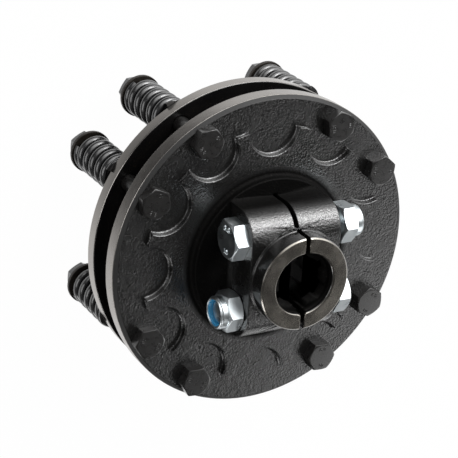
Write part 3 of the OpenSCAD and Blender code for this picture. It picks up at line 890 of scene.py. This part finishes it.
def places_tree():
    """Geometry nodes that put a copy of one piece at each point, turned about Z."""
    tree = bpy.data.node_groups.new("Place round the plates", "GeometryNodeTree")
    tree.interface.new_socket("Geometry", in_out="INPUT", socket_type="NodeSocketGeometry")
    tree.interface.new_socket("Piece", in_out="INPUT", socket_type="NodeSocketObject")
    tree.interface.new_socket("Finish", in_out="INPUT", socket_type="NodeSocketMaterial")
    tree.interface.new_socket("Geometry", in_out="OUTPUT", socket_type="NodeSocketGeometry")
    given = add(tree, "NodeGroupInput").outputs
    turned = add(tree, "GeometryNodeInputNamedAttribute", {
        "Name": "turn"}, data_type="FLOAT").outputs[0]
    rotation = add(tree, "ShaderNodeCombineXYZ", {"Z": turned}).outputs[0]
    piece = add(tree, "GeometryNodeObjectInfo", {"Object": given["Piece"]}).outputs["Geometry"]
    copies = add(tree, "GeometryNodeInstanceOnPoints", {
        "Points": given["Geometry"], "Instance": piece, "Rotation": rotation}).outputs[0]
    real = add(tree, "GeometryNodeRealizeInstances", {"Geometry": copies}).outputs[0]
    finished = add(tree, "GeometryNodeSetMaterial", {
        "Geometry": real, "Material": given["Finish"]}).outputs[0]
    add(tree, "NodeGroupOutput", {"Geometry": finished})
    return tree


def bolt_points():
    """A vertex at each spring bolt, with the turn of its head."""
    mesh = bpy.data.meshes.new("bolt_points")
    places = [math.radians(place_deg) for place_deg in BOLT_PLACES_DEG]
    mesh.from_pydata([round_point(BOLT_CIRCLE_R, place, 0) for place in places], [], [])
    turn = mesh.attributes.new("turn", "FLOAT", "POINT")
    for item, place, turn_deg in zip(turn.data, places, HEAD_TURNS_DEG):
        item.value = place + math.radians(turn_deg)
    return mesh


def spring_bolts():
    """The eight spring bolts as one piece."""
    pattern = new_object("spring_bolt_pattern", spring_bolt_mesh())
    piece = grow("spring_bolt_set", places_tree(), bolt_points(), **{
        "Piece": pattern, "Finish": MATERIALS["black_bolt"]})
    bpy.data.objects.remove(pattern)
    even = piece.modifiers.new("Even faces", "WEIGHTED_NORMAL")
    even.keep_sharp = True
    bake_modifiers(piece)
    return finish_piece(piece, ["spring_bolts"], "black_bolt")


spring_bolts()
clamp_marks("upper_clamp_marks", "upper_clamp_bolt", 0)
clamp_marks("lower_clamp_marks", "lower_clamp_bolt", 180)
rolled_lip("upper_nut_lip", "upper_lock_nut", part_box("upper_lock_nut")[1].x)
rolled_lip("lower_nut_lip", "lower_lock_nut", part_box("lower_lock_nut")[0].x)


def stage():
    """A pale floor that keeps soft shadows. It is white to the eye and in reflections, except on
    its near side, which mirrors dimly in the rims."""
    half = FLOOR_HALF
    mesh = bpy.data.meshes.new("floor")
    corners = [(-half, -half, 0), (half, -half, 0), (half, half, 0), (-half, half, 0)]
    mesh.from_pydata(corners, [], [(0, 1, 2, 3)])
    floor = new_object("floor", mesh)
    material = bpy.data.materials.new("white_paper_floor")
    material.use_nodes = True
    tree = material.node_tree
    tree.nodes.clear()
    path = add(tree, "ShaderNodeLightPath").outputs
    direct = add(tree, "ShaderNodeMath", {
        0: path["Is Camera Ray"], 1: FLOOR_WHITE_SHARE}, operation="MULTIPLY").outputs[0]
    mirrored = add(tree, "ShaderNodeMath", {
        0: path["Is Glossy Ray"], 1: path["Is Transmission Ray"]}, operation="MAXIMUM").outputs[0]
    share = add(tree, "ShaderNodeMath", {0: direct, 1: mirrored}, operation="MAXIMUM").outputs[0]
    where = add(tree, "ShaderNodeTexCoord").outputs["Object"]
    near = add(tree, "ShaderNodeVectorMath", {
        0: where, 1: NEAR_SIDE}, operation="DOT_PRODUCT").outputs["Value"]
    sheet = add(tree, "ShaderNodeMapRange", {
        "Value": near, "From Min": NEAR_FROM, "From Max": NEAR_TO,
        "To Min": 1.0, "To Max": NEAR_LIGHT}).outputs[0]
    glow = add(tree, "ShaderNodeMix", {
        "Factor": path["Is Camera Ray"], "A": sheet, "B": 1.0}, data_type="FLOAT").outputs[0]
    paper = add(tree, "ShaderNodeBsdfDiffuse", {"Color": linear("#d2d2d2")}).outputs[0]
    white = add(tree, "ShaderNodeEmission", {"Color": (1, 1, 1, 1), "Strength": glow}).outputs[0]
    mixed = add(tree, "ShaderNodeMixShader", {0: share, 1: paper, 2: white}).outputs[0]
    add(tree, "ShaderNodeOutputMaterial", {"Surface": mixed})
    mesh.materials.append(material)


def world():
    """White surroundings to the eye; as light, a dim room with one bright wall."""
    room = bpy.data.worlds.new("white_studio")
    bpy.context.scene.world = room
    room.use_nodes = True
    tree = room.node_tree
    tree.nodes.clear()
    path = add(tree, "ShaderNodeLightPath").outputs
    way = add(tree, "ShaderNodeTexCoord").outputs["Generated"]
    facing = add(tree, "ShaderNodeVectorMath", {
        0: way, 1: BRIGHT_SIDE}, operation="DOT_PRODUCT").outputs["Value"]
    walls = add(tree, "ShaderNodeMapRange", {
        "Value": facing, "From Min": WALL_FROM, "From Max": WALL_TO,
        "To Min": DIM_LIGHT, "To Max": WALL_LIGHT}).outputs[0]
    strength = add(tree, "ShaderNodeMix", {
        "Factor": path["Is Camera Ray"], "A": walls, "B": 1.0}, data_type="FLOAT").outputs[0]
    sky = add(tree, "ShaderNodeBackground", {
        "Color": (1, 1, 1, 1), "Strength": strength}).outputs[0]
    add(tree, "ShaderNodeOutputWorld", {"Surface": sky})


def softbox(name, place_mm, aim_mm, size_mm, watts):
    """Square soft lamp at a place, facing a point."""
    lamp = bpy.data.lights.new(name, "AREA")
    lamp.size = size_mm * MM
    lamp.energy = watts
    holder = new_object(name, lamp)
    holder.location = Vector(place_mm) * MM
    holder.rotation_mode = "QUATERNION"
    holder.rotation_quaternion = (Vector(aim_mm) - Vector(place_mm)).to_track_quat("-Z", "Y")


def camera():
    """The camera, at its place and rolled about its own axis."""
    lens = bpy.data.cameras.new("camera")
    lens.sensor_width = CAMERA_SENSOR
    lens.lens = CAMERA_LENS
    lens.clip_start = 10 * MM
    holder = new_object("camera", lens)
    holder.location = CAMERA_AT * MM
    holder.rotation_mode = "QUATERNION"
    holder.rotation_quaternion = (
        (CAMERA_AIM - CAMERA_AT).to_track_quat("-Z", "Y")
        @ Quaternion((0, 0, 1), math.radians(CAMERA_ROLL)))
    bpy.context.scene.camera = holder


stage()
world()
softbox("top_box", place_mm=(370, 650, 590), aim_mm=(0, 0, 90), size_mm=340, watts=4.4)
softbox("right_box", place_mm=(650, -510, 520), aim_mm=(0, 0, 90), size_mm=560, watts=2.1)
softbox("left_box", place_mm=(-880, 240, 330), aim_mm=(0, 0, 60), size_mm=620, watts=3.2)
softbox("low_box", place_mm=(-540, -720, 360), aim_mm=(0, 0, 80), size_mm=300, watts=1.8)
camera()
bpy.context.scene.view_settings.view_transform = "Standard"
